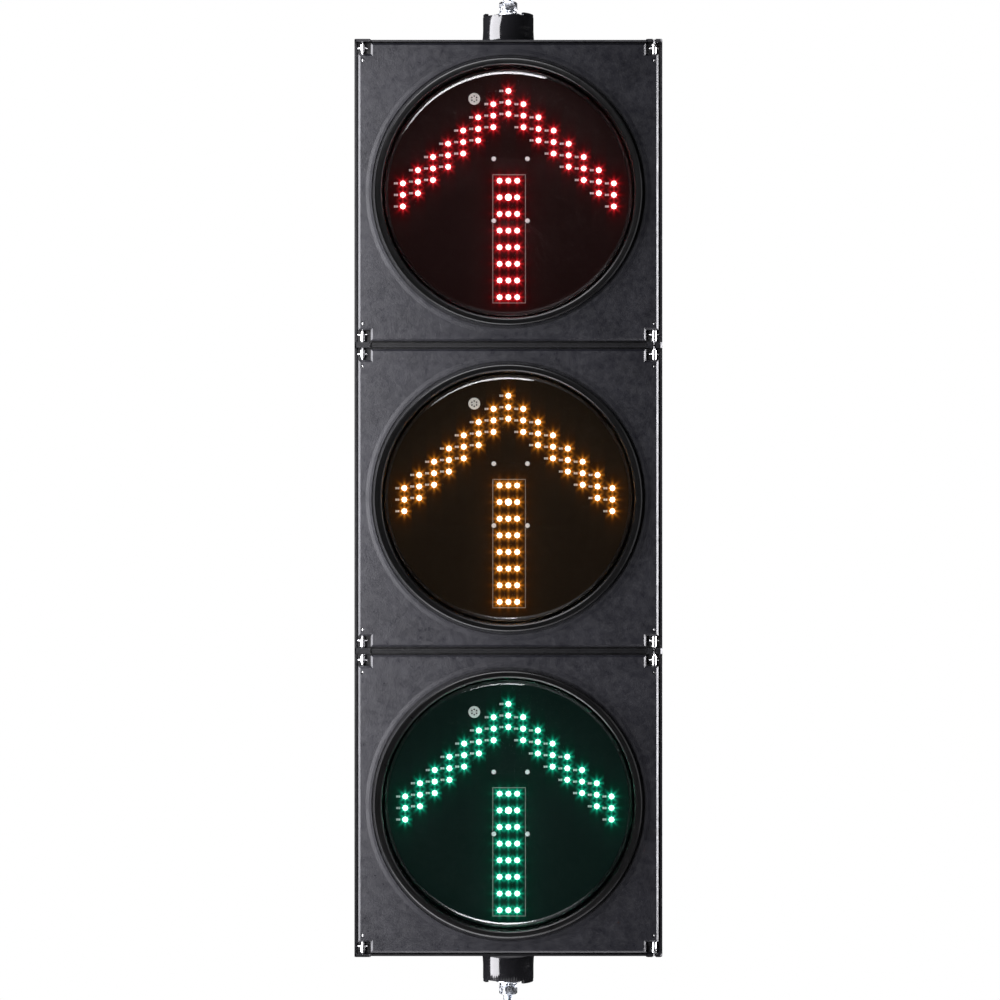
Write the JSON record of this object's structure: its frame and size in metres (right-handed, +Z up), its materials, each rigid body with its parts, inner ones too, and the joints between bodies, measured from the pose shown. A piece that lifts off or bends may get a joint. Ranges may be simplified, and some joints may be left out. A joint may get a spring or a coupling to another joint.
{
  "type": "traffic signal head",
  "caption": "Vertical traffic signal head: stacked black housings with hinged doors, round clear lenses over lit arrow diode boards, and mounting spigots at both ends.",
  "frame": {"origin": "on the axis of the mounting studs, in the plane of the lower spigot's crown", "axes": "+Z up along the studs, -Y the way the lights face, +X to the right as seen from the front"},
  "size_m": [0.363, 0.1304, 1.2296],
  "materials": {
    "satin_black": "satin, finely grained",
    "gloss_black": "gloss",
    "case_black": "moulded, matt",
    "rubber": "matt",
    "stainless": "polished",
    "zinc": "zinc plated",
    "board": "black solder mask",
    "supply_grey": "matt",
    "lens_red": "clear, smoked",
    "lens_amber": "clear, smoked",
    "lens_green": "clear, smoked",
    "led_red": "lit",
    "led_amber": "lit",
    "led_green": "lit"
  },
  "bodies": {
    "housing_stack": {"green_housing": "satin_black", "amber_housing": "satin_black", "red_housing": "satin_black", "door_gaskets": "rubber", "upper_spigot": "gloss_black", "lower_spigot": "gloss_black", "spigot_screws": "stainless", "mounting_bolts": "zinc", "mounting_nuts": "zinc", "flat_washers": "zinc", "spring_washers": "zinc", "joint_rings": "zinc", "joint_bolts": "zinc", "terminal_block": "supply_grey", "cable_grommet": "rubber"},
    "green_door_body": {"green_door": "satin_black", "green_lens_ring": "gloss_black", "green_lens": "lens_green", "green_lens_gasket": "rubber", "green_module_case": "case_black", "green_circuit_board": "board", "green_leds": "led_green", "green_board_screws": "stainless", "green_power_supply": "supply_grey", "green_module_clips": "zinc", "green_pin_springs": "stainless"},
    "green_pin_upper_left_body": {"green_pin_upper_left": "stainless"},
    "green_pin_upper_right_body": {"green_pin_upper_right": "stainless"},
    "green_pin_lower_left_body": {"green_pin_lower_left": "stainless"},
    "green_pin_lower_right_body": {"green_pin_lower_right": "stainless"},
    "amber_door_body": {"amber_door": "satin_black", "amber_lens_ring": "gloss_black", "amber_lens": "lens_amber", "amber_lens_gasket": "rubber", "amber_module_case": "case_black", "amber_circuit_board": "board", "amber_leds": "led_amber", "amber_board_screws": "stainless", "amber_power_supply": "supply_grey", "amber_module_clips": "zinc", "amber_pin_springs": "stainless"},
    "amber_pin_upper_left_body": {"amber_pin_upper_left": "stainless"},
    "amber_pin_upper_right_body": {"amber_pin_upper_right": "stainless"},
    "amber_pin_lower_left_body": {"amber_pin_lower_left": "stainless"},
    "amber_pin_lower_right_body": {"amber_pin_lower_right": "stainless"},
    "red_door_body": {"red_door": "satin_black", "red_lens_ring": "gloss_black", "red_lens": "lens_red", "red_lens_gasket": "rubber", "red_module_case": "case_black", "red_circuit_board": "board", "red_leds": "led_red", "red_board_screws": "stainless", "red_power_supply": "supply_grey", "red_module_clips": "zinc", "red_pin_springs": "stainless"},
    "red_pin_upper_left_body": {"red_pin_upper_left": "stainless"},
    "red_pin_upper_right_body": {"red_pin_upper_right": "stainless"},
    "red_pin_lower_left_body": {"red_pin_lower_left": "stainless"},
    "red_pin_lower_right_body": {"red_pin_lower_right": "stainless"}
  },
  "joints": [
    {"name": "green_door_hinge", "type": "hinge", "parent": "housing_stack", "child": "green_door_body", "pos_m": [-0.1715, -0.056, 0.2172], "axis": [0, 0, 1], "range_deg": [-110, 0]},
    {"name": "green_pin_upper_left_slide", "type": "slide", "parent": "green_door_body", "child": "green_pin_upper_left_body", "axis": [0, 0, -1], "range_m": [0, 0.0036], "stiffness_N_per_m": 500, "springref_m": -0.004, "deforming": ["green_pin_springs"]},
    {"name": "green_pin_upper_right_slide", "type": "slide", "parent": "green_door_body", "child": "green_pin_upper_right_body", "axis": [0, 0, -1], "range_m": [0, 0.0036], "stiffness_N_per_m": 500, "springref_m": -0.004, "deforming": ["green_pin_springs"]},
    {"name": "green_pin_lower_left_slide", "type": "slide", "parent": "green_door_body", "child": "green_pin_lower_left_body", "axis": [0, 0, 1], "range_m": [0, 0.0036], "stiffness_N_per_m": 500, "springref_m": -0.004, "deforming": ["green_pin_springs"]},
    {"name": "green_pin_lower_right_slide", "type": "slide", "parent": "green_door_body", "child": "green_pin_lower_right_body", "axis": [0, 0, 1], "range_m": [0, 0.0036], "stiffness_N_per_m": 500, "springref_m": -0.004, "deforming": ["green_pin_springs"]},
    {"name": "amber_door_hinge", "type": "hinge", "parent": "housing_stack", "child": "amber_door_body", "pos_m": [-0.1715, -0.056, 0.5772], "axis": [0, 0, 1], "range_deg": [-110, 0]},
    {"name": "amber_pin_upper_left_slide", "type": "slide", "parent": "amber_door_body", "child": "amber_pin_upper_left_body", "axis": [0, 0, -1], "range_m": [0, 0.0036], "stiffness_N_per_m": 500, "springref_m": -0.004, "deforming": ["amber_pin_springs"]},
    {"name": "amber_pin_upper_right_slide", "type": "slide", "parent": "amber_door_body", "child": "amber_pin_upper_right_body", "axis": [0, 0, -1], "range_m": [0, 0.0036], "stiffness_N_per_m": 500, "springref_m": -0.004, "deforming": ["amber_pin_springs"]},
    {"name": "amber_pin_lower_left_slide", "type": "slide", "parent": "amber_door_body", "child": "amber_pin_lower_left_body", "axis": [0, 0, 1], "range_m": [0, 0.0036], "stiffness_N_per_m": 500, "springref_m": -0.004, "deforming": ["amber_pin_springs"]},
    {"name": "amber_pin_lower_right_slide", "type": "slide", "parent": "amber_door_body", "child": "amber_pin_lower_right_body", "axis": [0, 0, 1], "range_m": [0, 0.0036], "stiffness_N_per_m": 500, "springref_m": -0.004, "deforming": ["amber_pin_springs"]},
    {"name": "red_door_hinge", "type": "hinge", "parent": "housing_stack", "child": "red_door_body", "pos_m": [-0.1715, -0.056, 0.9372], "axis": [0, 0, 1], "range_deg": [-110, 0]},
    {"name": "red_pin_upper_left_slide", "type": "slide", "parent": "red_door_body", "child": "red_pin_upper_left_body", "axis": [0, 0, -1], "range_m": [0, 0.0036], "stiffness_N_per_m": 500, "springref_m": -0.004, "deforming": ["red_pin_springs"]},
    {"name": "red_pin_upper_right_slide", "type": "slide", "parent": "red_door_body", "child": "red_pin_upper_right_body", "axis": [0, 0, -1], "range_m": [0, 0.0036], "stiffness_N_per_m": 500, "springref_m": -0.004, "deforming": ["red_pin_springs"]},
    {"name": "red_pin_lower_left_slide", "type": "slide", "parent": "red_door_body", "child": "red_pin_lower_left_body", "axis": [0, 0, 1], "range_m": [0, 0.0036], "stiffness_N_per_m": 500, "springref_m": -0.004, "deforming": ["red_pin_springs"]},
    {"name": "red_pin_lower_right_slide", "type": "slide", "parent": "red_door_body", "child": "red_pin_lower_right_body", "axis": [0, 0, 1], "range_m": [0, 0.0036], "stiffness_N_per_m": 500, "springref_m": -0.004, "deforming": ["red_pin_springs"]}
  ]
}
